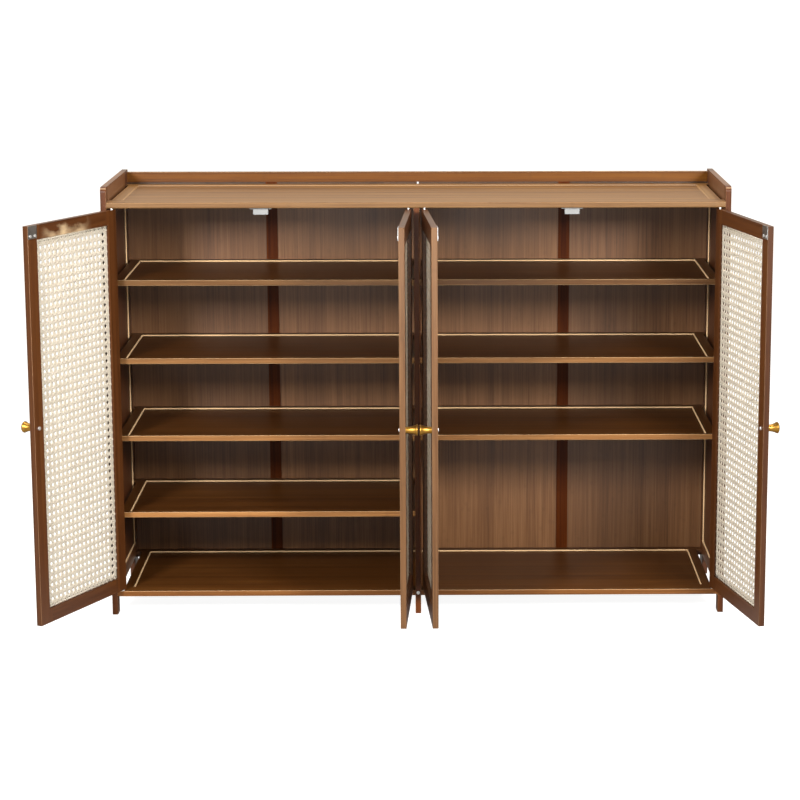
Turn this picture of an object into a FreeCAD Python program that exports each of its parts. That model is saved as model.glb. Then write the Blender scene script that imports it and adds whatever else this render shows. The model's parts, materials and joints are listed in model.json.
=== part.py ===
import FreeCAD, Part
import math
import os

# Shoe cabinet: framed boards, four inset doors on pivot pins, millimetres.
# X runs to the right, Y to the back and Z up. The origin is on the floor,
# in the middle of the sole of the centre post.

V = FreeCAD.Vector

# ---- overall sizes ----
carcass_width = 1200.0
carcass_depth = 336.0
top_surface = 811.0          # upper face of the top board
floor_gap = 36.5             # clear height under the bottom board
gallery_rise = 29.0          # sides above the top board
lowest_rise = 151.0          # bottom board to the lowest shelf, face to face
shelf_pitch = 153.0          # shelf to shelf, face to face
left_shelves = 4
right_shelves = 3            # the lowest shelf is left out of the right bay

# ---- framed boards and sides ----
board = 11.0                 # thickness of every frame, leg and post
panel_thick = 5.0
panel_recess = 2.0           # panel face below its frame's face, with a 45 degree bevel
groove_depth = 6.0
groove_play = 0.4
edge_round = 1.0             # eased edges of legs and doors
nose_round = 2.5             # front edge of the top board
shelf_round = 1.5            # front edges of the shelves and the bottom board

# ---- sides ----
front_leg = 28.0             # leg widths, front to back
rear_leg = 48.0
low_rail_low = 40.0
low_rail_height = 30.0
high_rail_height = 65.0
corner_round = 10.0          # front top corner of each side

# ---- top board, bottom board and shelves ----
end_slot = 5.5               # open slot between an end stile and what the board ends on
end_stile = 20.5
bottom_slot = 11.5
bottom_stile = 19.0
top_front_rail = 42.0
bottom_front_rail = 34.5
rear_rail = 22.0
shelf_front_rail = 9.5
shelf_set_back = 33.5        # shelf front behind the cabinet's front

# ---- back ----
back_thick = 11.0            # depth of the back batten and of the lip
batten_width = 23.0
sheet_recess = 2.0
sheet_groove = 4.0
lip_gap = 4.0                # lip above the top board
lip_height = 20.5

# ---- centre ----
post_notch = 12.0            # how much of the post is left where it laps the bottom board
post_screw_radius = 2.0
post_screw_reach = 16.0
post_head_radius = 3.4
post_head_height = 1.4

# ---- doors ----
door_thick = 11.0
door_gap = 2.8               # above and below a door
meeting_gap = 3.0            # between two closed doors
pivot_inset = 9.6            # pivot axis from the side or post
hinge_gap = 3.6              # closed door from the side or post
door_stile = 36.0
door_rail = 35.0
rebate_width = 8.0
rebate_depth = 4.0
cane_thick = 1.6
cane_play = 0.5
outer_left_short = 4.38      # degrees that each outer door stands short of its side's front edge
outer_right_short = 17.88
knob_end_gap = 2.07          # between the knobs of the open centre doors
left_lean_share = 1 / 3      # how the centre doors share the lean that their knobs leave them

# ---- pivot pins ----
pin_radius = 2.5
pin_clearance = 0.06
pin_in_board = 7.0
pin_in_door = 12.0
bore_play = 0.8              # bore deeper than the pin is long
collar_radius = 4.2
collar_clearance = 0.4

# ---- knobs ----
knob_length = 22.5
knob_base_radius = 6.3
knob_middle_radius = 7.0
knob_end_radius = 10.8
knob_rim = 2.4
knob_edge_inset = 14.0       # knob axis from the door's free edge
knob_screw_radius = 2.0
knob_screw_reach = 11.0      # thread inside the knob
screw_head_radius = 3.4
screw_head_height = 2.0

# ---- strike plates and magnetic catches ----
plate_width = 26.0
plate_height = 24.0
plate_thick = 1.0
plate_inset = 1.0            # plate from the door's free edge
plate_screw_spacing = 14.0
plate_screw_rise = 5.0       # screws above the plate's lower edge
small_screw_radius = 1.5
small_screw_reach = 8.0
small_head_radius = 2.8
small_head_height = 0.8
catch_gap = 0.5              # strike plate to catch, door closed
catch_body_width = 28.0
catch_flange_width = 41.0
catch_depth = 14.0
catch_height = 13.5
catch_flange_thick = 3.0

# ---- places that follow from the sizes ----
half_width = carcass_width / 2
inner_x = half_width - board
front_y = -front_leg / 2
back_y = front_y + carcass_depth
back_face_y = back_y - back_thick
side_height = top_surface + gallery_rise
top_under = top_surface - board
bottom_surface = floor_gap + board
half_post = board / 2
bay_width = inner_x - half_post
bay_centre = half_post + bay_width / 2
pivot_y = front_y + door_thick / 2
door_width = bay_width / 2 - hinge_gap - meeting_gap / 2
door_low = bottom_surface + door_gap
door_high = top_under - door_gap
knob_z = (door_low + door_high) / 2
rebate_floor = door_thick - rebate_depth
sheet_y = (back_face_y + sheet_recess, back_face_y + sheet_recess + panel_thick)
lip_low = top_surface + lip_gap
sheet_z = (floor_gap, lip_low + sheet_groove - groove_play)
post_screw_z = floor_gap + board / 2

# ---- how far each door stands open, in degrees from closed ----
# An outer door's face meets the front edge of the side at this angle.
outer_stop = 180 - 2 * math.degrees(math.atan2(door_thick / 2, pivot_inset))
outer_left_angle = outer_stop - outer_left_short
outer_right_angle = outer_stop - outer_right_short
# The knobs of the centre doors point at each other, so the two doors lean apart by their excess.
centre_pivot_x = half_post + pivot_inset
knob_reach = door_width + hinge_gap - pivot_inset - knob_edge_inset
knob_excess = 2 * (door_thick / 2 + knob_length - centre_pivot_x) + knob_end_gap
centre_lean = math.degrees(math.asin(knob_excess / knob_reach))
centre_left_angle = 90 - centre_lean * left_lean_share
centre_right_angle = 90 - centre_lean * (1 - left_lean_share)

# name: (x of the side or post it hangs on, direction from hinge to free edge, opening angle)
doors = {
    "outer_left_door": (-inner_x, 1, outer_left_angle),
    "centre_left_door": (-half_post, -1, centre_left_angle),
    "centre_right_door": (half_post, 1, centre_right_angle),
    "outer_right_door": (inner_x, -1, outer_right_angle),
}


# ---- small helpers ----
def box(x_range, y_range, z_range):
    x0, x1 = sorted(x_range)
    y0, y1 = sorted(y_range)
    z0, z1 = sorted(z_range)
    return Part.makeBox(x1 - x0, y1 - y0, z1 - z0, V(x0, y0, z0))


def rod(radius, start, end):
    run = V(*end) - V(*start)
    return Part.makeCylinder(radius, run.Length, V(*start), run)


def grown(low_high, by):
    low, high = sorted(low_high)
    return low - by, high + by


def near(value, target):
    return abs(value - target) < 0.01


def round_along_x(shape, radius, places):
    """Rounds the edges that run along X through each (y, z) place."""
    edges = []
    for edge in shape.Edges:
        middle = edge.BoundBox.Center
        if near(edge.BoundBox.XLength, edge.Length):
            if any(near(middle.y, y) and near(middle.z, z) for y, z in places):
                edges.append(edge)
    return shape.makeFillet(radius, edges)


def round_upright(shape, radius, y_places):
    """Rounds the upright edges that stand at each y place."""
    edges = []
    for edge in shape.Edges:
        if near(edge.BoundBox.ZLength, edge.Length):
            if any(near(edge.BoundBox.Center.y, y) for y in y_places):
                edges.append(edge)
    return shape.makeFillet(radius, edges)


def rectangle(x_range, y_range, z_range):
    """Closed wire of a rectangle that is flat in X, Y or Z."""
    x0, x1 = x_range
    y0, y1 = y_range
    z0, z1 = z_range
    if x0 == x1:
        corners = [(x0, y0, z0), (x0, y1, z0), (x0, y1, z1), (x0, y0, z1)]
    else:
        corners = [(x0, y0, z0), (x1, y0, z0), (x1, y1, z0), (x0, y1, z0)]
    points = [V(*corner) for corner in corners]
    return Part.makePolygon(points + points[:1])


# ---- framed boards ----
def framed_board(x_range, z_top, y_front, front_rail, stile, slot, radius):
    """A frame with a panel in its groove, and an open slot outside each end stile."""
    x0, x1 = x_range
    z_low = z_top - board
    panel_z = (z_top - panel_recess - panel_thick, z_top - panel_recess)
    opening_x = (x0 + slot + stile, x1 - slot - stile)
    opening_y = (y_front + front_rail, back_face_y - rear_rail)
    frame = box(x_range, (y_front, back_face_y), (z_low, z_top))
    frame = round_along_x(frame, radius, [(y_front, z_low), (y_front, z_top)])
    frame = frame.cut(box(opening_x, opening_y, (z_low, z_top)))
    for slot_x in ((x0, x0 + slot), (x1 - slot, x1)):
        frame = frame.cut(box(slot_x, opening_y, (z_low, z_top)))
    groove = box(grown(opening_x, groove_depth), grown(opening_y, groove_depth), panel_z)
    bevel = Part.makeLoft([
        rectangle(opening_x, opening_y, (panel_z[1], panel_z[1])),
        rectangle(grown(opening_x, panel_recess), grown(opening_y, panel_recess), (z_top, z_top)),
    ], True)
    frame = frame.cut(groove).cut(bevel)
    tongue = groove_depth - groove_play
    panel = box(grown(opening_x, tongue), grown(opening_y, tongue), panel_z)
    return frame, panel


def door_pivots():
    return [(hang_x + way * pivot_inset, pivot_y) for hang_x, way, _ in doors.values()]


def top_board():
    frame, panel = framed_board((-inner_x, inner_x), top_surface, front_y,
                                top_front_rail, end_stile, end_slot, nose_round)
    for x, y in door_pivots():
        frame = frame.cut(rod(pin_radius, (x, y, top_under), (x, y, top_under + pin_in_board)))
    for x, y in catch_screw_places():
        hole_top = top_under + small_screw_reach - catch_flange_thick
        frame = frame.cut(rod(small_screw_radius, (x, y, top_under), (x, y, hole_top)))
    return {"top_frame": frame, "top_panel": panel}


def bottom_board():
    frame, panel = framed_board((-inner_x, inner_x), bottom_surface, front_y,
                                bottom_front_rail, bottom_stile, bottom_slot, shelf_round)
    for x, y in door_pivots():
        low = bottom_surface - pin_in_board
        frame = frame.cut(rod(pin_radius, (x, y, low), (x, y, bottom_surface)))
    notch = box((-half_post, half_post), (front_y, front_y + post_notch), (floor_gap, bottom_surface))
    return {"bottom_frame": frame.cut(notch).cut(post_screw_shank()), "bottom_panel": panel}


def shelves():
    pieces = {}
    for side, sign, count in (("left", -1, left_shelves), ("right", 1, right_shelves)):
        for number in range(count):
            # shelf 1 is the highest, and the bays share its height
            z_top = bottom_surface + lowest_rise + shelf_pitch * (left_shelves - 1 - number)
            ends = tuple(sorted((sign * half_post, sign * inner_x)))
            frame, panel = framed_board(ends, z_top, front_y + shelf_set_back,
                                        shelf_front_rail, end_stile, end_slot, shelf_round)
            pieces[f"{side}_shelf_{number + 1}_frame"] = frame
            pieces[f"{side}_shelf_{number + 1}_panel"] = panel
    return pieces


# ---- sides ----
def side(name, sign):
    """Two legs and two rails around a panel that lies back from the inner face."""
    inner, outer = sign * inner_x, sign * half_width
    leg_front = (front_y, front_y + front_leg)
    leg_back = (back_y - rear_leg, back_y)
    opening_y = (leg_front[1], leg_back[0])
    opening_z = (low_rail_low + low_rail_height, side_height - high_rail_height)
    panel_x = (inner + sign * panel_recess, inner + sign * (panel_recess + panel_thick))
    groove = box(panel_x, grown(opening_y, groove_depth), grown(opening_z, groove_depth))
    bevel = Part.makeLoft([
        rectangle((panel_x[0], panel_x[0]), opening_y, opening_z),
        rectangle((inner, inner), grown(opening_y, panel_recess), grown(opening_z, panel_recess)),
    ], True)
    sheet_slot = box((inner, inner + sign * sheet_groove), sheet_y, (floor_gap, lip_low + sheet_groove))

    front = round_upright(box((inner, outer), leg_front, (0, side_height)), edge_round, [front_y])
    bend_y = front_y + corner_round
    bend_z = side_height - corner_round
    corner = box((inner, outer), (front_y, bend_y), (bend_z, side_height))
    bend = rod(corner_round, (inner, bend_y, bend_z), (outer, bend_y, bend_z))
    pieces = {
        "front_leg": front.cut(corner.cut(bend)),
        "rear_leg": box((inner, outer), leg_back, (0, side_height)).cut(sheet_slot),
        "top_rail": box((inner, outer), opening_y, (opening_z[1], side_height)),
        "bottom_rail": box((inner, outer), opening_y, (low_rail_low, opening_z[0])),
    }
    pieces = {key: shape.cut(groove).cut(bevel) for key, shape in pieces.items()}
    tongue = groove_depth - groove_play
    pieces["side_panel"] = box(panel_x, grown(opening_y, tongue), grown(opening_z, tongue))
    return {f"{name}_{key}": shape for key, shape in pieces.items()}


# ---- back ----
def back():
    """Sheets that stand in grooves of the sides, battens and divider, with their tops in the lip."""
    batten_z = (floor_gap, lip_low)
    tongue = sheet_groove - groove_play
    half_batten = batten_width / 2
    pieces = {}
    for side_name, sign in (("left", -1), ("right", 1)):
        middle = sign * bay_centre
        batten = box((middle - half_batten, middle + half_batten), (back_face_y, back_y), batten_z)
        for way in (-1, 1):
            edge = middle + way * half_batten
            batten = batten.cut(box((edge - way * sheet_groove, edge), sheet_y, batten_z))
        pieces[f"{side_name}_back_batten"] = batten
        outer_edges = (sign * (inner_x + tongue), middle + sign * (half_batten - tongue))
        inner_edges = (middle - sign * (half_batten - tongue), sign * (half_post - tongue))
        pieces[f"{side_name}_outer_back_sheet"] = box(outer_edges, sheet_y, sheet_z)
        pieces[f"{side_name}_inner_back_sheet"] = box(inner_edges, sheet_y, sheet_z)
    lip_high = lip_low + lip_height
    lip = box((-inner_x, inner_x), (back_face_y, back_y), (lip_low, lip_high))
    lip = lip.cut(box((-inner_x, inner_x), sheet_y, (lip_low, lip_low + sheet_groove)))
    pieces["back_lip"] = round_along_x(lip, edge_round, [(back_face_y, lip_high), (back_y, lip_high)])
    return pieces


# ---- centre ----
def post_screw_shank():
    tip = front_y + post_notch + post_screw_reach
    return rod(post_screw_radius, (0, front_y, post_screw_z), (0, tip, post_screw_z))


def centre():
    post = box((-half_post, half_post), (front_y, front_y + front_leg), (0, top_under))
    post = round_upright(post, edge_round, [front_y])
    lap = box((-half_post, half_post), (front_y + post_notch, front_y + front_leg),
              (floor_gap, bottom_surface))
    post = post.cut(lap).cut(post_screw_shank())
    divider = box((-half_post, half_post), (front_y + front_leg, back_y), (bottom_surface, top_under))
    for way in (-1, 1):
        slot_x = (way * (half_post - sheet_groove), way * half_post)
        divider = divider.cut(box(slot_x, sheet_y, (bottom_surface, top_under)))
    return {"centre_post": post, "centre_divider": divider}


# ---- pivot pins ----
def hinge_pins():
    """Eight pins, pressed into the top and bottom boards; the lower ones carry a collar."""
    pins = []
    for x, y in door_pivots():
        upper_low = door_high - pin_in_door
        pins.append(rod(pin_radius, (x, y, upper_low), (x, y, top_under + pin_in_board)))
        lower = rod(pin_radius, (x, y, bottom_surface - pin_in_board), (x, y, door_low + pin_in_door))
        collar = rod(collar_radius, (x, y, bottom_surface), (x, y, door_low - collar_clearance))
        pins.append(lower.fuse(collar).removeSplitter())
    return Part.makeCompound(pins)


# ---- doors, drawn closed with the outer face at v = 0 and the hinge edge at u = 0 ----
def knob_shape(axis_x, face_y):
    """Turned knob that flares from the door to a rounded end."""
    end = knob_length
    tip = end - knob_rim
    line = Part.LineSegment
    curve = Part.Arc(V(knob_base_radius, 0, 0), V(knob_middle_radius, tip / 2, 0),
                     V(knob_end_radius, tip, 0))
    rim_half = knob_rim * math.sqrt(0.5)
    rim = Part.Arc(V(knob_end_radius, tip, 0),
                   V(knob_end_radius - knob_rim + rim_half, tip + rim_half, 0),
                   V(knob_end_radius - knob_rim, end, 0))
    edges = [
        line(V(0, 0, 0), V(knob_base_radius, 0, 0)),
        curve,
        rim,
        line(V(knob_end_radius - knob_rim, end, 0), V(0, end, 0)),
        line(V(0, end, 0), V(0, 0, 0)),
    ]
    face = Part.Face(Part.Wire([edge.toShape() for edge in edges]))
    knob = face.revolve(V(0, 0, 0), V(0, 1, 0), 360)
    knob.rotate(V(0, 0, 0), V(0, 0, 1), 180)
    knob.translate(V(axis_x, face_y, knob_z))
    return knob


def door_pieces(hang_x, way):
    """Closed door: frame, cane, knob, strike plate and screws."""
    hinge_edge = hang_x + way * hinge_gap

    def across(u):
        return hinge_edge + way * u

    def through(v):
        return front_y + v

    inner_face = through(door_thick)
    frame = box((across(0), across(door_width)), (front_y, inner_face), (door_low, door_high))
    frame = round_upright(frame, edge_round, [front_y, inner_face])
    opening_x = (across(door_stile), across(door_width - door_stile))
    opening_z = (door_low + door_rail, door_high - door_rail)
    frame = frame.cut(box(opening_x, (front_y, inner_face), opening_z))
    rebate_y = (through(rebate_floor), inner_face)
    frame = frame.cut(box(grown(opening_x, rebate_width), rebate_y, grown(opening_z, rebate_width)))
    pivot_x = hang_x + way * pivot_inset
    bore = pin_radius + pin_clearance
    depth = pin_in_door + bore_play
    frame = frame.cut(rod(bore, (pivot_x, pivot_y, door_low), (pivot_x, pivot_y, door_low + depth)))
    frame = frame.cut(rod(bore, (pivot_x, pivot_y, door_high - depth), (pivot_x, pivot_y, door_high)))

    overlap = rebate_width - cane_play
    cane_y = (through(rebate_floor), through(rebate_floor + cane_thick))
    cane = box(grown(opening_x, overlap), cane_y, grown(opening_z, overlap))

    knob_x = across(door_width - knob_edge_inset)
    shank = rod(knob_screw_radius, (knob_x, inner_face, knob_z),
                (knob_x, front_y - knob_screw_reach, knob_z))
    head = rod(screw_head_radius, (knob_x, inner_face, knob_z),
               (knob_x, inner_face + screw_head_height, knob_z))
    frame = frame.cut(shank)
    knob = knob_shape(knob_x, front_y).cut(shank)

    plate_x = (across(door_width - plate_inset - plate_width), across(door_width - plate_inset))
    plate_z = (door_high - plate_height, door_high)
    plate = box(plate_x, (inner_face, inner_face + plate_thick), plate_z)
    screws = [shank.fuse(head).removeSplitter()]
    for offset in (-plate_screw_spacing / 2, plate_screw_spacing / 2):
        x = sum(plate_x) / 2 + offset
        z = plate_z[0] + plate_screw_rise
        face = inner_face + plate_thick
        screw = rod(small_screw_radius, (x, face, z), (x, face - small_screw_reach, z))
        frame = frame.cut(screw)
        plate = plate.cut(screw)
        cap = rod(small_head_radius, (x, face, z), (x, face + small_head_height, z))
        screws.append(screw.fuse(cap).removeSplitter())
    return {"frame": frame, "cane": cane, "knob": knob, "strike_plate": plate,
            "screws": Part.makeCompound(screws)}


def hung_doors():
    pieces = {}
    for name, (hang_x, way, angle) in doors.items():
        pivot = V(hang_x + way * pivot_inset, pivot_y, 0)
        for key, shape in door_pieces(hang_x, way).items():
            shape.rotate(pivot, V(0, 0, 1), -way * angle)
            pieces[f"{name}_{key}"] = shape
    return pieces


# ---- magnetic catches ----
def catch_front():
    return front_y + door_thick + plate_thick + catch_gap


def catch_screw_places():
    offset = (catch_body_width + catch_flange_width) / 4
    y = catch_front() + catch_depth / 2
    return [(sign * bay_centre + way * offset, y) for sign in (-1, 1) for way in (-1, 1)]


def magnetic_catches():
    catches = []
    y_range = (catch_front(), catch_front() + catch_depth)
    for sign in (-1, 1):
        middle = sign * bay_centre
        body = box(grown((middle, middle), catch_body_width / 2), y_range,
                   (top_under - catch_height, top_under))
        flange = box(grown((middle, middle), catch_flange_width / 2), y_range,
                     (top_under - catch_flange_thick, top_under))
        catches.append(body.fuse(flange).removeSplitter())
    group = Part.makeCompound(catches)
    for x, y in catch_screw_places():
        hole = rod(small_screw_radius, (x, y, top_under - catch_flange_thick), (x, y, top_under))
        group = group.cut(hole)
    return group


def fixing_screws():
    """The catches' four screws and the one through the foot of the centre post."""
    head = rod(post_head_radius, (0, front_y - post_head_height, post_screw_z),
               (0, front_y, post_screw_z))
    screws = [post_screw_shank().fuse(head).removeSplitter()]
    face = top_under - catch_flange_thick
    for x, y in catch_screw_places():
        shank = rod(small_screw_radius, (x, y, face), (x, y, face + small_screw_reach))
        cap = rod(small_head_radius, (x, y, face - small_head_height), (x, y, face))
        screws.append(shank.fuse(cap).removeSplitter())
    return Part.makeCompound(screws)


def all_parts():
    parts = {}
    for group in (side("left", -1), side("right", 1), top_board(), bottom_board(), shelves(),
                  back(), centre(), hung_doors()):
        parts.update(group)
    parts["hinge_pins"] = hinge_pins()
    parts["magnetic_catches"] = magnetic_catches()
    parts["fixing_screws"] = fixing_screws()
    return parts


def main():
    os.makedirs("parts", exist_ok=True)
    for name, shape in all_parts().items():
        shape.exportStep(f"parts/{name}.step")
        print(name, "valid" if shape.isValid() else "INVALID", len(shape.Solids), round(shape.Volume))


main()
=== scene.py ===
import json
import math

import bpy
from mathutils import Matrix, Vector


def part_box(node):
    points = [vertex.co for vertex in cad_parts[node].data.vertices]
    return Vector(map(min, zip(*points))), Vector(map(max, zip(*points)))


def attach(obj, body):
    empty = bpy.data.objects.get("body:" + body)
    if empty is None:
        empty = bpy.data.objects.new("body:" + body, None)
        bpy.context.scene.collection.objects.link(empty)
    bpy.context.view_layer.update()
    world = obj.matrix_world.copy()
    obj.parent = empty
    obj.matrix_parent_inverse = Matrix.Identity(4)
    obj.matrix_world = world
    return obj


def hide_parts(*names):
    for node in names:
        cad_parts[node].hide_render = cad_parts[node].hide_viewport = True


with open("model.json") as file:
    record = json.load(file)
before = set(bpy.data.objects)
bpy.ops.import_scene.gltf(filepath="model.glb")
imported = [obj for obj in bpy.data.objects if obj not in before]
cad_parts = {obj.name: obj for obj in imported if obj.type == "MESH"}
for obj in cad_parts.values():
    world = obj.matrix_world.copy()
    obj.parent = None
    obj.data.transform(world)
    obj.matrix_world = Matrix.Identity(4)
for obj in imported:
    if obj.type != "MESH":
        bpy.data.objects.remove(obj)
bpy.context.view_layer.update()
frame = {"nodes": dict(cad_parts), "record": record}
nodes = frame["nodes"]
bodies = frame["record"]["behaviour"]["bodies"]

# ---- camera ----
CAMERA_PLACE = (0.0430, -4.6514, 1.3510)
CAMERA_TURN = 0.85           # degrees towards +X
CAMERA_TILT = 11.42          # degrees below the horizon
CAMERA_LENS = 110.1
CAMERA_SENSOR = 36
CAMERA_SHIFT = (-0.0940, 0.0084)

# ---- studio ----
FLOOR_HALF = 40.0
FLOOR_GREY = (0.35, 0.35, 0.35)
FLOOR_ROUGH = 0.9
FLOOR_GLOW = 0.92            # what the camera sees besides the light on the floor
BACKDROP = 1.0               # what the camera sees of the surroundings
AMBIENT = 0.22               # light from the front
AMBIENT_BEHIND = 0.95        # light from the pale wall behind
AMBIENT_RISE = (-0.1, 0.5)   # Y of the directions where it goes from AMBIENT to AMBIENT_BEHIND
WARM = (1.0, 0.93, 0.80)     # colour of both
LIGHTS_AIM = Vector((0, 0, 0.5))
KEY_SIDE = 1.52              # the two soft boxes, in front and to each side
KEY_FRONT = -2.5
KEY_HEIGHT = 1.58
KEY_SIZE = (0.50, 0.60)
KEY_POWER = 100
TOP_PLACE = (0, 0.1, 3.2)
TOP_SIZE = (2.6, 1.2)
TOP_POWER = 74
FRONT_PLACE = (0, -1.0, 0.75)
FRONT_SIZE = (0.6, 0.5)
FRONT_POWER = 3.5

# ---- bamboo: sizes ----
PANEL_TONGUE = 0.0056        # panel inside its frame's groove
CANE_OVERLAP = 0.0075        # cane beyond the door's opening
JOINT_LINE = 0.0004          # glue line between a rail and a stile
STRIP_WIDTH = 0.0065         # strips glued side by side
STRIP_DEPTH = STRIP_WIDTH * 1.7
STRIP_WANDER = STRIP_WIDTH * 0.3
KNUCKLE_SPACING = 0.27       # along a strip
KNUCKLE_STAGGER = 3.7        # spacings that the knuckles of two strips can differ by
KNUCKLE_EDGES = (0.004, 0.022)   # from a knuckle's middle, in spacings

# noise cells in a metre along, across and through the fibres
WANDER_SCALE = (1.5, 9.0, 9.0)
BROAD_SCALE = (1.6, 38.0, 38.0)
STREAK_SCALE = (5.0, 330.0, 330.0)
PORE_SCALE = (16.0, 1500.0, 1500.0)
SEED_STEP = (1.37, 0.613, 0.291)   # moves each piece to another part of the noise
FIRST_DOOR_SEED = 20.0
DOOR_SEED_STEP = 3.3

# ---- bamboo: colours ----
STAIN = ((0.092, 0.031, 0.008), (0.190, 0.076, 0.024), (0.272, 0.121, 0.044))
BARE_AND_HIGHLIGHT = (0.88, 0.60, 0.32)    # where the stain is thin, on bevels, also a painted highlight
GLUE = (0.045, 0.018, 0.008)
GLUE_STRENGTH = 0.75
BROAD_WEIGHT = 0.55          # shares of the noises in the tone
STREAK_WEIGHT = 0.75
PORE_WEIGHT = 0.22
TONE_SPAN = (0.47, 1.08)     # sums of the noises that give the darkest and the palest stain
KNUCKLE_SHADE = 0.08
DARK_PORES = (0.56, 0.70, 1.0, 0.72)   # noise from, to, and the factors on the colour
BEVEL_FLATNESS = (0.83, 0.73)   # greatest part of the normal, from a flat face to a bevel
BEVEL_WEAR_AND_HIGHLIGHT = (0.25, 0.60, 0.80)   # streaks from, to, and the least share of pale bevel, thin stain and painted highlight
FACING = 0.75                # a face looks along an axis when its normal does by this much
LIP_PAINTED_SHADOW = 0.7              # painted shadow: how much darker the back sheets are painted behind the gap under the lip
STREAK_ROUGHNESS = 0.16
BUMP = (0.25, 0.0002)

# stain and finish of each group of pieces; edge hues are those of a board's front edge and of a
# door's upright edges, painted light and painted shade that make those faces lighter or darker
# than the rest of the piece
# the top board's hue is paler and greyer than the shelves': its stain and a painted sheen on its top
TOP_FINISH_AND_PAINTED_SHEEN = {"hue": (0.96, 1.06, 0.80), "gloss": 0.45, "bare_and_highlight": 0.1, "shine": 0.27, "strips": 0.32}
TOP_EDGE_LIGHT_HUE = (0.81, 0.97, 1.02)
# the shelves' hue is darker than their front edges: painted shade on the shelves' tops
SHELF_FINISH_AND_PAINTED_SHADE = {"hue": (0.43, 0.35, 0.18), "shine": 0.25}
SHELF_PANEL_STRIPS = 0.32
HIGH_SHELF_EDGE_LIGHT_HUE = (0.18, 0.16, 0.05)   # at the level of the top board
LOW_SHELF_EDGE_LIGHT_HUE = (2.20, 2.45, 2.30)    # at the floor
BOTTOM_EDGE_LIGHT_HUE = (0.83, 0.73, 0.46)
LIP_FINISH = {"hue": (0.66, 0.52, 0.085), "shine": 0.25, "strips": 0.32}
SIDE_RAIL_FINISH = {"hue": (0.70, 0.62, 0.55)}
# back sheets: the outer ones painted darker, painted shade, and the inner ones paler, painted light,
# for light that is brighter near the middle of each bay
OUTER_SHEET_STAIN_AND_PAINTED_SHADE = {"hue": (0.78, 0.83, 0.88), "strips": 0.07}
INNER_SHEET_STAIN_AND_PAINTED_LIGHT = {"hue": (1.06, 1.15, 1.25), "strips": 0.07}
BATTEN_FINISH = {"hue": (0.42, 0.21, 0.03), "shine": 0.1}
SIDE_FINISH = {"hue": (0.46, 0.32, 0.20)}
FRONT_LEG_FINISH = {"hue": (0.46, 0.32, 0.20), "bare_and_highlight": 0.3, "shine": 0.25}
CENTRE_FINISH = {"hue": (0.64, 0.42, 0.24), "shine": 0.25}
DOOR_FINISH = {"hue": (0.41, 0.31, 0.21), "bare_and_highlight": 0.35, "shine": 0.3}
OUTER_DOOR_EDGE_LIGHT_HUE = (0.37, 0.29, 0.22)
CENTRE_DOOR_EDGE_LIGHT_HUE = (0.70, 0.80, 0.92)

# ---- pale blotch on the inner face of one door ----
PALE_MARK_DOOR = "outer_left_door"
PALE_MARK_COLOUR = (0.62, 0.45, 0.26)
PALE_MARK_SPAN = (0.075, 0.245)  # from the hinge, along the top rail
PALE_MARK_RISE = 0.024           # above the cane
PALE_MARK_UNEVEN = 2.2           # rises that its upper edge varies by
PALE_MARK_DROP = 0.35            # rises that the edge starts below the top of the cane
PALE_MARK_FULL = 0.4             # share of its half length where it is strongest
PALE_MARK_STRENGTH = 0.85
PALE_MARK_SCALE = (38.0, 38.0, 60.0)
PALE_MARK_PLAY = 0.001           # lets it start just under the edge of the cane

# ---- metals and plastic ----
BRASS = {"colour": (0.46, 0.24, 0.045), "dark": (0.36, 0.18, 0.03), "rough": 0.30, "scratch": 0.10}
ZINC = {"colour": (0.47, 0.48, 0.48), "dark": (0.31, 0.32, 0.32), "rough": 0.26, "scratch": 0.20}
STEEL = {"colour": (0.88, 0.88, 0.87), "dark": (0.74, 0.74, 0.73), "rough": 0.45, "scratch": 0.15}
CLOUD_SCALE = 90.0
CLOUD_SPAN = (0.42, 0.70)
SCRATCH_SCALE = (900.0, 900.0, 4000.0)
METAL_BUMP = (0.08, 0.00005)
PLASTIC = ((0.25, 0.25, 0.246), (0.225, 0.225, 0.22))
PLASTIC_ROUGH = 0.35
PLASTIC_GRAIN = 0.2
PLASTIC_GRAIN_SCALE = 2500.0
PLASTIC_CLOUD_SCALE = 60.0
PLASTIC_BUMP = (0.15, 0.0001)

# ---- cane webbing ----
HOLE_PITCH = 0.0135
PAIR_HALF_SPACING = 0.00150  # half the distance between the two strands of a pair
PAIR_WIDTH = 0.0028
DIAGONAL_WIDTH = 0.0044
STRAND_THICK = 0.00042
WEAVE_HEIGHT = 0.00045
BORDER_WIDTH = 0.004         # matted ends of the strands, in the door's rebate
DIAGONAL_STEPS = 4           # points of a diagonal strand in one pitch
END_STEP = 0.3               # shortest step at either end of a diagonal, as a share of a full one
SHOWS_THROUGH = 0.35         # share of the light that comes through a strand
CANE_TONES = [(0.30, (0.82, 0.73, 0.59)), (0.55, (0.84, 0.76, 0.63)), (0.75, (0.86, 0.79, 0.67))]
CANE_PATCH_SCALE = 28.0
CANE_FIBRE_SCALE = (1600.0, 1600.0, 500.0)
CANE_FIBRE_TONES = (0.35, 0.65, 0.94, 1.03)   # noise from, to, and the factors on the colour
CANE_ROUGH = 0.32
CANE_FIBRE_ROUGHNESS = 0.25
CANE_BUMP = (0.3, 0.0001)


# ---- scene helpers ----
def turned(vector, degrees):
    """Vector turned about Z."""
    return Matrix.Rotation(math.radians(degrees), 3, "Z") @ Vector(vector)


def linked(name, data):
    """A new object in the scene."""
    made = bpy.data.objects.new(name, data)
    bpy.context.scene.collection.objects.link(made)
    return made


def mesh_object(name, vertices, faces, smooth=True):
    mesh = bpy.data.meshes.new(name)
    mesh.from_pydata(vertices, [], faces)
    mesh.validate()
    if smooth:
        mesh.shade_smooth()
    return linked(name, mesh)


def paint(piece, material):
    """Gives every face of a piece or CAD node one material."""
    if piece.material_slots:
        for slot in piece.material_slots:
            slot.material = material
    else:
        piece.data.materials.append(material)


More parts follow.
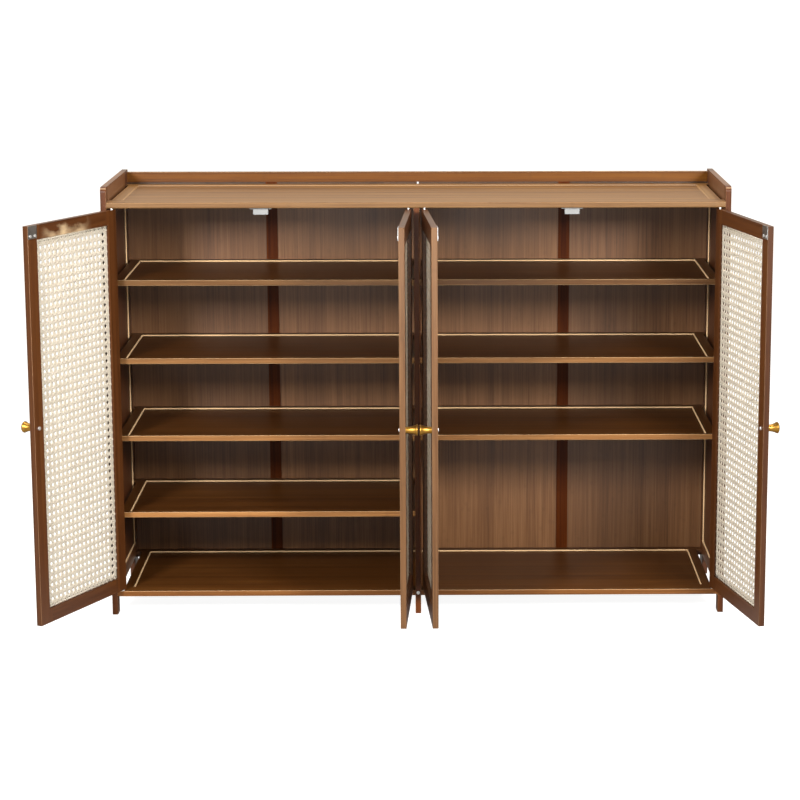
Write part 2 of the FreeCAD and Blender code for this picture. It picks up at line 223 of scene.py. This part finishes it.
# ---- doors: where each one stands at rest ----
class Door:
    """Directions and sizes of an open door, read from its hinge and its cane.

    u runs along the door from its pivot, v through it from its outer to its inner face."""

    def __init__(self, joint):
        self.name = joint["child"]
        self.pivot = Vector(joint["pos_m"])
        # the closed door runs this way in X, and the joint's least angle closes it
        way = -joint["axis"][2]
        opened = -joint["range_deg"][0] * joint["axis"][2]
        self.along = turned((way, 0, 0), opened)
        self.inward = turned((0, 1, 0), opened)
        points = [v.co - self.pivot for v in nodes[self.name + "_cane"].data.vertices]
        spans = [p.dot(self.along) for p in points]
        depths = [p.dot(self.inward) for p in points]
        self.cane_u = (min(spans), max(spans))
        self.cane_v = (min(depths), max(depths))
        low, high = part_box(self.name + "_cane")
        self.cane_z = (low.z, high.z)

    def place(self, u, v, z):
        flat = self.pivot + self.along * u + self.inward * v
        return Vector((flat.x, flat.y, z))


doors = [Door(joint) for joint in frame["record"]["behaviour"]["joints"]]


# ---- shader helpers ----
class Tree:
    """A node tree, built by calls that give back output sockets."""

    def __init__(self, tree):
        self.tree = tree

    def feed(self, socket, value):
        if value is None:
            return
        if isinstance(value, bpy.types.NodeSocket):
            self.tree.links.new(value, socket)
        else:
            socket.default_value = value

    def node(self, kind, inputs, **settings):
        made = self.tree.nodes.new(kind)
        for key, value in settings.items():
            setattr(made, key, value)
        for key, value in inputs.items():
            self.feed(made.inputs[key], value)
        return made

    def math(self, operation, a, b=None, c=None):
        made = self.node("ShaderNodeMath", {0: a, 1: b, 2: c}, operation=operation)
        return made.outputs[0]

    def vector(self, operation, a, b=None):
        made = self.node("ShaderNodeVectorMath", {0: a, 1: b}, operation=operation)
        return made.outputs["Value"] if operation == "DOT_PRODUCT" else made.outputs[0]

    def span(self, value, low, high, to_low=0.0, to_high=1.0):
        """Value from low..high to to_low..to_high, held at both ends."""
        made = self.node("ShaderNodeMapRange", {0: value, 1: low, 2: high, 3: to_low, 4: to_high})
        return made.outputs[0]

    def mix_number(self, share, a, b):
        return self.node("ShaderNodeMix", {0: share, 2: a, 3: b}).outputs[0]

    def mix_vector(self, share, a, b):
        made = self.node("ShaderNodeMix", {0: share, 4: a, 5: b}, data_type="VECTOR")
        return made.outputs[1]

    def mix(self, share, a, b):
        """Mix of two colours."""
        made = self.node("ShaderNodeMix", {0: share, 6: a, 7: b}, data_type="RGBA")
        return made.outputs[2]

    def tint(self, colour, factor):
        """Colour times a grey factor."""
        return self.vector("MULTIPLY", colour, self.joined(factor, factor, factor))

    def parts(self, vector):
        return self.node("ShaderNodeSeparateXYZ", {0: vector}).outputs

    def joined(self, x, y, z):
        return self.node("ShaderNodeCombineXYZ", {0: x, 1: y, 2: z}).outputs[0]

    def noise(self, vector, scale=1.0, detail=3.0, roughness=0.55):
        made = self.node("ShaderNodeTexNoise", {
            "Vector": vector, "Scale": scale, "Detail": detail, "Roughness": roughness})
        return made.outputs["Fac"]

    def stretched_noise(self, vector, scales, detail=3.0, roughness=0.55):
        """Noise with its own number of cells in a metre along each axis."""
        return self.noise(self.vector("MULTIPLY", vector, scales), detail=detail, roughness=roughness)

    def speckle(self, vector):
        """A flat random value for each whole-numbered cell."""
        return self.node("ShaderNodeTexWhiteNoise", {"Vector": vector}).outputs["Value"]

    def ramp(self, value, stops):
        made = self.node("ShaderNodeValToRGB", {0: value})
        elements = made.color_ramp.elements
        while len(elements) < len(stops):
            elements.new(0.5)
        for element, (place, colour) in zip(elements, stops):
            element.position = place
            element.color = (*colour, 1)
        return made.outputs[0]

    def bump(self, height, strength, distance):
        made = self.node("ShaderNodeBump", {
            "Height": height, "Strength": strength, "Distance": distance})
        return made.outputs[0]


class Shader(Tree):
    """A material's node tree."""

    def __init__(self, name):
        self.material = bpy.data.materials.new(name)
        self.material.use_nodes = True
        super().__init__(self.material.node_tree)
        self.tree.nodes.clear()

    def place(self):
        return self.node("ShaderNodeTexCoord", {}).outputs["Object"]

    def finish(self, **inputs):
        """Ends the tree in a Principled shader; underscores stand for spaces in input names."""
        named = {key.replace("_", " "): value for key, value in inputs.items()}
        shader = self.node("ShaderNodeBsdfPrincipled", named)
        self.node("ShaderNodeOutputMaterial", {0: shader.outputs[0]})
        return self.material


# ---- bamboo ----
FITTINGS = ("hinge_pins", "magnetic_catches", "fixing_screws")   # on the carcass, and not wood
AXIS = {"x": 0, "y": 1, "z": 2}
TURNS = {"x": (0, 1, 2), "y": (1, 0, 2), "z": (2, 0, 1)}   # the fibres' axis comes first


def place_and_normal(s, door):
    """Place and normal of a point, in the directions of its door if it has one."""
    coordinates = s.node("ShaderNodeTexCoord", {})
    place = coordinates.outputs["Object"]
    normal = coordinates.outputs["Normal"]
    if door:
        rows = [Vector((*door.along[:2], 0)), Vector((*door.inward[:2], 0)), Vector((0, 0, 1))]
        away = s.vector("SUBTRACT", place, Vector((*door.pivot[:2], 0)))
        place = s.joined(*[s.vector("DOT_PRODUCT", away, row) for row in rows])
        normal = s.joined(*[s.vector("DOT_PRODUCT", normal, row) for row in rows])
    return place, normal


def fibre_place(s, axes, grain, other, seed):
    """Place along, across and through the fibres, and the glue lines between rails and stiles."""
    fibre = s.joined(*[axes[i] for i in TURNS[grain]])
    glue_line = 0.0
    if other:
        other_grain, test = other
        inside, glue_line = test(s, axes)
        fibre = s.mix_vector(inside, fibre, s.joined(*[axes[i] for i in TURNS[other_grain]]))
    return s.vector("ADD", fibre, [seed * step for step in SEED_STEP]), glue_line


def laminate(s, fibre, seed):
    """Tone of each strip, and where its knuckles are."""
    along, across, deep = s.parts(fibre)
    wander = s.stretched_noise(fibre, WANDER_SCALE, detail=1.0)
    shifted = s.math("ADD", across, s.math("MULTIPLY", wander, STRIP_WANDER))
    strip_number = s.math("FLOOR", s.math("DIVIDE", shifted, STRIP_WIDTH))
    layer_number = s.math("FLOOR", s.math("DIVIDE", deep, STRIP_DEPTH))
    tone = s.speckle(s.joined(strip_number, layer_number, seed))
    spacings = s.math("DIVIDE", along, KNUCKLE_SPACING)
    spacings = s.math("MULTIPLY_ADD", tone, KNUCKLE_STAGGER, spacings)
    off = s.math("ABSOLUTE", s.math("SUBTRACT", s.math("FRACT", spacings), 0.5))
    return tone, s.span(off, *KNUCKLE_EDGES, 1.0, 0.0)


def bamboo(name, grain, seed, hue, other=None, door=None, edge_axis=None, edge_light_hue=None,
           bare_and_highlight=1.0, gloss=0.40, shine=0.5, strips=0.20, painted_shade_above=None, pale_mark=None):
    """Stained laminated bamboo.

    grain is the axis that the fibres follow; other is a second axis with a test that says where it
    holds, for a frame made of rails and stiles. hue deepens the stain; for the top board it also
    holds a painted sheen, for the shelves a painted shade on their tops, and for the back sheets
    painted light near the middle of each bay and painted shade at its sides. edge_light_hue takes its
    place on the faces that look along edge_axis: painted light or shade that makes those faces
    lighter or darker than the rest of the piece. bare is how pale the bevels are, thin stain and a
    painted highlight, and strips is the contrast between strips. The wood is darker above the
    height painted_shade_above, a painted shadow, and smear is a test that says where it has a pale
    blotch."""
    s = Shader(name)
    place, normal = place_and_normal(s, door)
    axes = s.parts(place)
    fibre, glue_line = fibre_place(s, axes, grain, other, seed)
    strip_tone, knuckle = laminate(s, fibre, seed)

    # stain: broad clouds, streaks, strips and pores
    broad = s.stretched_noise(fibre, BROAD_SCALE)
    streak = s.stretched_noise(fibre, STREAK_SCALE, roughness=0.6)
    pores = s.stretched_noise(fibre, PORE_SCALE, detail=2.0, roughness=0.6)
    tone = s.math("MULTIPLY_ADD", broad, BROAD_WEIGHT, s.math("MULTIPLY", streak, STREAK_WEIGHT))
    tone = s.math("MULTIPLY_ADD", s.math("SUBTRACT", strip_tone, 0.5), strips, tone)
    tone = s.math("MULTIPLY_ADD", pores, PORE_WEIGHT, tone)
    tone = s.span(tone, *TONE_SPAN)
    colour = s.ramp(tone, [(0.0, STAIN[0]), (0.5, STAIN[1]), (1.0, STAIN[2])])
    colour = s.tint(colour, s.math("MULTIPLY_ADD", knuckle, -KNUCKLE_SHADE, 1.0))
    colour = s.tint(colour, s.span(pores, *DARK_PORES))

    # deeper or paler stain, and the faces that have their own hue: painted light or shade on the faces
    # that look along edge_axis
    bent = s.parts(s.vector("ABSOLUTE", normal))
    stain = hue
    if edge_light_hue:
        faces_out = s.math("GREATER_THAN", bent[edge_axis], FACING)
        stain = s.mix(faces_out, (*hue, 1), (*edge_light_hue, 1))
    colour = s.vector("MULTIPLY", colour, stain)

    # bevels and rounded edges, where the stain is thin and a highlight is painted
    flatness = s.math("MAXIMUM", s.math("MAXIMUM", bent[0], bent[1]), bent[2])
    worn_from, worn_to, least = BEVEL_WEAR_AND_HIGHLIGHT
    wear_and_highlight = s.span(streak, worn_from, worn_to, least * bare_and_highlight, bare_and_highlight)
    bevel_wear_and_highlight = s.math("MULTIPLY", s.span(flatness, *BEVEL_FLATNESS), wear_and_highlight)
    colour = s.mix(bevel_wear_and_highlight, colour, (*BARE_AND_HIGHLIGHT, 1))

    # painted shadow in the gap under the lip: the back is darkened above this height
    if painted_shade_above is not None:
        above = s.math("GREATER_THAN", axes[2], painted_shade_above)
        colour = s.tint(colour, s.math("MULTIPLY_ADD", above, -LIP_PAINTED_SHADOW, 1.0))
    if pale_mark:
        colour = s.mix(pale_mark(s, axes), colour, (*PALE_MARK_COLOUR, 1))
    colour = s.mix(s.math("MULTIPLY", glue_line, GLUE_STRENGTH), colour, (*GLUE, 1))

    rough = s.math("MULTIPLY_ADD", streak, STREAK_ROUGHNESS, gloss - STREAK_ROUGHNESS / 2)
    height = s.math("MULTIPLY_ADD", pores, 0.5, s.math("MULTIPLY", streak, 0.5))
    height = s.math("SUBTRACT", height, glue_line)
    return s.finish(Base_Color=colour, Roughness=rough, Normal=s.bump(height, *BUMP),
                    Specular_IOR_Level=shine)


def distance_off(s, value, middle):
    return s.math("ABSOLUTE", s.math("SUBTRACT", value, middle))


def stile_test(panel_name):
    """Where a framed board's end stiles are: beyond the opening in X, between the rails in Y."""
    low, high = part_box(panel_name)
    middle = (low + high) / 2
    half_x = (high.x - low.x) / 2 - PANEL_TONGUE
    half_y = (high.y - low.y) / 2 - PANEL_TONGUE

    def test(s, axes):
        beyond = s.math("GREATER_THAN", distance_off(s, axes[0], middle.x), half_x)
        off = s.math("SUBTRACT", distance_off(s, axes[1], middle.y), half_y)
        between_rails = s.math("LESS_THAN", off, 0.0)
        at_joint = s.math("LESS_THAN", s.math("ABSOLUTE", off), JOINT_LINE)
        return s.math("MULTIPLY", beyond, between_rails), s.math("MULTIPLY", beyond, at_joint)
    return test


def rail_test(door):
    """Where a door's rails are: between the stiles."""
    middle = sum(door.cane_u) / 2
    half = (door.cane_u[1] - door.cane_u[0]) / 2 - CANE_OVERLAP

    def test(s, axes):
        off = s.math("SUBTRACT", distance_off(s, axes[0], middle), half)
        between_stiles = s.math("LESS_THAN", off, 0.0)
        return between_stiles, s.math("LESS_THAN", s.math("ABSOLUTE", off), JOINT_LINE)
    return test


def pale_mark_test(door):
    """A pale blotch on the inner face of the top rail, just above the cane."""
    middle = sum(PALE_MARK_SPAN) / 2
    half = (PALE_MARK_SPAN[1] - PALE_MARK_SPAN[0]) / 2
    cane_top = door.cane_z[1]

    def test(s, axes):
        along = s.span(distance_off(s, axes[0], middle), half * PALE_MARK_FULL, half, 1.0, 0.0)
        cloud = s.stretched_noise(s.joined(*axes), PALE_MARK_SCALE)
        base = cane_top - PALE_MARK_RISE * PALE_MARK_DROP
        edge = s.math("MULTIPLY_ADD", cloud, PALE_MARK_RISE * PALE_MARK_UNEVEN, base)
        rise = s.span(s.math("SUBTRACT", edge, axes[2]), 0.0, PALE_MARK_RISE)
        above = s.math("GREATER_THAN", axes[2], cane_top - PALE_MARK_PLAY)
        inner_side = s.math("GREATER_THAN", axes[1], door.cane_v[0])
        face = s.math("MULTIPLY", s.math("MULTIPLY", above, inner_side), PALE_MARK_STRENGTH)
        return s.math("MULTIPLY", s.math("MULTIPLY", along, rise), face)
    return test


def shelf_edge_light_hue(name):
    """The hue of a shelf's front edge, painted light on the front that is paler than the shelf's top,
    and paler the lower the shelf is.
    """
    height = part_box(name)[1].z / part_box("top_frame")[1].z
    return tuple(Vector(LOW_SHELF_EDGE_LIGHT_HUE).lerp(Vector(HIGH_SHELF_EDGE_LIGHT_HUE), height))


def carcass_wood(name):
    """Grain and finish of a piece of the carcass."""
    if name == "top_frame":
        return {"grain": "x", "other": ("y", stile_test("top_panel")), "edge_axis": AXIS["y"],
                "edge_light_hue": TOP_EDGE_LIGHT_HUE, **TOP_FINISH_AND_PAINTED_SHEEN}
    if name == "top_panel":
        return {"grain": "x", **TOP_FINISH_AND_PAINTED_SHEEN}
    if name.endswith("_frame"):
        # painted light: a shelf's front edge gets its own hue
        edge_light_hue = BOTTOM_EDGE_LIGHT_HUE if name.startswith("bottom") else shelf_edge_light_hue(name)
        return {"grain": "x", "other": ("y", stile_test(name.replace("_frame", "_panel"))),
                "edge_axis": AXIS["y"], "edge_light_hue": edge_light_hue, **SHELF_FINISH_AND_PAINTED_SHADE}
    if name.endswith("_panel") and "side" not in name:
        return {"grain": "x", "strips": SHELF_PANEL_STRIPS, **SHELF_FINISH_AND_PAINTED_SHADE}
    if name == "back_lip":
        return {"grain": "x", **LIP_FINISH}
    if name.endswith(("top_rail", "bottom_rail")):
        return {"grain": "y", **SIDE_RAIL_FINISH}
    if name.endswith("_back_sheet"):
        # painted light and shade: the inner back sheets are paler than the outer ones
        finish = OUTER_SHEET_STAIN_AND_PAINTED_SHADE if "outer" in name else INNER_SHEET_STAIN_AND_PAINTED_LIGHT
        # painted shadow above the top board's height, behind the gap under the lip
        return {"grain": "z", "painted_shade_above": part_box("top_frame")[1].z, **finish}
    if name.endswith("_back_batten"):
        return {"grain": "z", **BATTEN_FINISH}
    if name.endswith("_front_leg"):
        return {"grain": "z", **FRONT_LEG_FINISH}
    if name.startswith("centre"):
        return {"grain": "z", **CENTRE_FINISH}
    return {"grain": "z", **SIDE_FINISH}


def paint_carcass():
    for number, name in enumerate(bodies["carcass"], start=1):
        if name not in FITTINGS:
            paint(nodes[name], bamboo(name, seed=float(number), **carcass_wood(name)))


def paint_doors():
    for number, door in enumerate(doors):
        # painted light and shade: a door's upright edges get their own hue
        edge_light_hue = CENTRE_DOOR_EDGE_LIGHT_HUE if door.name.startswith("centre") else OUTER_DOOR_EDGE_LIGHT_HUE
        pale_mark = pale_mark_test(door) if door.name == PALE_MARK_DOOR else None
        material = bamboo(door.name, "z", seed=FIRST_DOOR_SEED + number * DOOR_SEED_STEP,
                          other=("x", rail_test(door)), door=door, edge_axis=AXIS["x"],
                          edge_light_hue=edge_light_hue, pale_mark=pale_mark, **DOOR_FINISH)
        paint(nodes[door.name + "_frame"], material)


# ---- metals and plastic ----
def metal(name, colour, dark, rough, scratch):
    s = Shader(name)
    place = s.place()
    cloud = s.noise(place, scale=CLOUD_SCALE)
    fine = s.stretched_noise(place, SCRATCH_SCALE, detail=2.0)
    base = s.mix(s.span(cloud, *CLOUD_SPAN), (*colour, 1), (*dark, 1))
    roughness = s.math("MULTIPLY_ADD", fine, scratch, rough)
    return s.finish(Base_Color=base, Metallic=1.0, Roughness=roughness,
                    Normal=s.bump(fine, *METAL_BUMP))


def white_plastic():
    s = Shader("white_plastic")
    place = s.place()
    grain = s.noise(place, scale=PLASTIC_GRAIN_SCALE, detail=2.0)
    cloud = s.noise(place, scale=PLASTIC_CLOUD_SCALE, detail=2.0)
    pale, dark = PLASTIC
    base = s.mix(cloud, (*pale, 1), (*dark, 1))
    rough = s.math("MULTIPLY_ADD", grain, PLASTIC_GRAIN, PLASTIC_ROUGH)
    return s.finish(Base_Color=base, Roughness=rough, Normal=s.bump(grain, *PLASTIC_BUMP))


def paint_fittings():
    brass = metal("polished_brass", **BRASS)
    zinc = metal("zinc", **ZINC)
    steel = metal("bright_steel", **STEEL)
    for name, node in nodes.items():
        if name.endswith("_knob"):
            paint(node, brass)
        elif name.endswith("_strike_plate"):
            paint(node, zinc)
        elif name.endswith("_screws") or name == "hinge_pins":
            paint(node, steel)
    paint(nodes["magnetic_catches"], white_plastic())


# ---- cane webbing ----
def cane_material():
    s = Shader("cane")
    place = s.place()
    patch = s.noise(place, scale=CANE_PATCH_SCALE)
    fibre = s.stretched_noise(place, CANE_FIBRE_SCALE, detail=2.0)
    colour = s.tint(s.ramp(patch, CANE_TONES), s.span(fibre, *CANE_FIBRE_TONES))
    rough = s.math("MULTIPLY_ADD", fibre, CANE_FIBRE_ROUGHNESS, CANE_ROUGH)
    normal = s.bump(fibre, *CANE_BUMP)
    front = s.node("ShaderNodeBsdfPrincipled", {
        "Base Color": colour, "Roughness": rough, "Normal": normal})
    through = s.node("ShaderNodeBsdfTranslucent", {"Color": colour, "Normal": normal})
    both = s.node("ShaderNodeMixShader", {
        0: SHOWS_THROUGH, 1: front.outputs[0], 2: through.outputs[0]})
    s.node("ShaderNodeOutputMaterial", {0: both.outputs[0]})
    return s.material


class Weave:
    """Gathers flat strands into one mesh, in the plane of X and Z."""

    def __init__(self):
        self.vertices = []
        self.faces = []

    def strand(self, points, width):
        """points are (x, height, z) along the middle of the strand."""
        run = Vector((points[-1][0] - points[0][0], 0, points[-1][2] - points[0][2])).normalized()
        side = Vector((run.z, 0, -run.x)) * width / 2
        lift = Vector((0, STRAND_THICK / 2, 0))
        start = len(self.vertices)
        for point in points:
            middle = Vector(point)
            self.vertices += [middle - side, middle + lift, middle + side, middle - lift]
        for ring in range(len(points) - 1):
            low = start + ring * 4
            for corner in range(4):
                after = (corner + 1) % 4
                self.faces.append((low + corner, low + after, low + 4 + after, low + 4 + corner))
        last = len(self.vertices) - 4
        self.faces.append(tuple(range(start + 3, start - 1, -1)))
        self.faces.append(tuple(range(last, last + 4)))


def crossings(half_size):
    """Middles of the pairs across a panel of this half size, the same each side of the middle."""
    count = int((half_size - PAIR_HALF_SPACING - PAIR_WIDTH / 2) / HOLE_PITCH)
    return [number * HOLE_PITCH for number in range(-count, count + 1)]


def pair_strands(weave, places, crossed, half_length, upright):
    """Pairs of strands, woven over and under the pairs that cross them."""
    for place in places:
        for way in (-1, 1):
            offset = place + way * PAIR_HALF_SPACING
            height = way * WEAVE_HEIGHT * (0.5 if upright else -0.5)
            points = [(-half_length, 0.0)]
            for cross in crossed:
                points += [(cross - PAIR_HALF_SPACING, height), (cross + PAIR_HALF_SPACING, -height),
                           (cross + HOLE_PITCH / 2, 0.0)]
            points[-1] = (half_length, 0.0)
            if upright:
                weave.strand([(offset, rise, run) for run, rise in points], PAIR_WIDTH)
            else:
                weave.strand([(run, rise, offset) for run, rise in points], PAIR_WIDTH)


def diagonal_strands(weave, half_x, half_z, way):
    """Diagonals through the middles of the holes' sides, over one kind of pair and under the other."""
    step = HOLE_PITCH / DIAGONAL_STEPS
    first = -(int((half_x + half_z) / HOLE_PITCH) + 1)
    for number in range(first, -first):
        # the strand's line is z = way * (x - start), and start lies between two pairs
        start = (number + 0.5) * HOLE_PITCH
        low = max(-half_x, start - half_z)
        high = min(half_x, start + half_z)
        if high - low < HOLE_PITCH:
            continue
        inner = range(math.ceil(low / step + END_STEP), math.floor(high / step - END_STEP) + 1)
        points = []
        for x in [low, *[i * step for i in inner], high]:
            height = way * WEAVE_HEIGHT * math.cos(2 * math.pi * x / HOLE_PITCH)
            points.append((x, height, way * (x - start)))
        weave.strand(points, DIAGONAL_WIDTH)


def border_strands(weave, half_x, half_z):
    for way in (-1, 1):
        level = way * (half_z - BORDER_WIDTH / 2)
        upright = way * (half_x - BORDER_WIDTH / 2)
        weave.strand([(-half_x, 0.0, level), (half_x, 0.0, level)], BORDER_WIDTH)
        weave.strand([(upright, 0.0, -half_z), (upright, 0.0, half_z)], BORDER_WIDTH)


def cane_weave(half_x, half_z):
    weave = Weave()
    upright_places = crossings(half_x)
    level_places = crossings(half_z)
    pair_strands(weave, upright_places, level_places, half_z, True)
    pair_strands(weave, level_places, upright_places, half_x, False)
    diagonal_strands(weave, half_x, half_z, -1)
    diagonal_strands(weave, half_x, half_z, 1)
    border_strands(weave, half_x, half_z)
    return weave


def add_cane():
    """The doors are alike, so their four pieces of webbing share one mesh."""
    half_x = (doors[0].cane_u[1] - doors[0].cane_u[0]) / 2
    half_z = (doors[0].cane_z[1] - doors[0].cane_z[0]) / 2
    weave = cane_weave(half_x, half_z)
    first = mesh_object(doors[0].name + "_webbing", weave.vertices, weave.faces)
    paint(first, cane_material())
    pieces = [first] + [linked(door.name + "_webbing", first.data) for door in doors[1:]]
    for door, piece in zip(doors, pieces):
        side = door.inward.cross(Vector((0, 0, 1)))
        turn = Matrix((side, door.inward, (0, 0, 1))).transposed().to_4x4()
        middle = door.place(sum(door.cane_u) / 2, sum(door.cane_v) / 2, sum(door.cane_z) / 2)
        piece.matrix_world = Matrix.Translation(middle) @ turn
        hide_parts(door.name + "_cane")
        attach(piece, door.name)


# ---- studio ----
def seen_by_camera(tree):
    return tree.node("ShaderNodeLightPath", {}).outputs["Is Camera Ray"]


def add_floor():
    corners = [(-FLOOR_HALF, -FLOOR_HALF, 0), (FLOOR_HALF, -FLOOR_HALF, 0),
               (FLOOR_HALF, FLOOR_HALF, 0), (-FLOOR_HALF, FLOOR_HALF, 0)]
    floor = mesh_object("floor", corners, [(0, 1, 2, 3)], smooth=False)
    s = Shader("pale_floor")
    glow = s.mix_number(seen_by_camera(s), 0.0, FLOOR_GLOW)
    paint(floor, s.finish(Base_Color=(*FLOOR_GREY, 1), Roughness=FLOOR_ROUGH,
                          Emission_Color=(1, 1, 1, 1), Emission_Strength=glow))


def add_surroundings():
    """A white backdrop that gives warm light, most of it from behind."""
    world = bpy.data.worlds.new("studio")
    world.use_nodes = True
    bpy.context.scene.world = world
    tree = Tree(world.node_tree)
    seen = seen_by_camera(tree)
    direction = tree.node("ShaderNodeTexCoord", {}).outputs["Generated"]
    light = tree.span(tree.parts(direction)["Y"], *AMBIENT_RISE, AMBIENT, AMBIENT_BEHIND)
    background = world.node_tree.nodes["Background"]
    tree.feed(background.inputs["Color"], tree.mix(seen, (*WARM, 1), (1, 1, 1, 1)))
    tree.feed(background.inputs["Strength"], tree.mix_number(seen, light, BACKDROP))


def area_light(name, place, size, power):
    data = bpy.data.lights.new(name, "AREA")
    data.shape = "RECTANGLE"
    data.size, data.size_y = size
    data.energy = power
    light = linked(name, data)
    light.location = place
    light.rotation_euler = (LIGHTS_AIM - Vector(place)).to_track_quat("-Z", "Y").to_euler()


def add_lights():
    for name, way in (("left_box", -1), ("right_box", 1)):
        area_light(name, (way * KEY_SIDE, KEY_FRONT, KEY_HEIGHT), KEY_SIZE, KEY_POWER)
    area_light("top_box", TOP_PLACE, TOP_SIZE, TOP_POWER)
    area_light("front_box", FRONT_PLACE, FRONT_SIZE, FRONT_POWER)


def add_camera():
    data = bpy.data.cameras.new("camera")
    data.lens = CAMERA_LENS
    data.sensor_width = CAMERA_SENSOR
    data.shift_x, data.shift_y = CAMERA_SHIFT
    camera = linked("camera", data)
    camera.location = CAMERA_PLACE
    camera.rotation_euler = (math.radians(90 - CAMERA_TILT), 0, math.radians(-CAMERA_TURN))
    bpy.context.scene.camera = camera


bpy.context.scene.view_settings.view_transform = "Standard"
paint_carcass()
paint_doors()
paint_fittings()
add_cane()
add_floor()
add_surroundings()
add_lights()
add_camera()
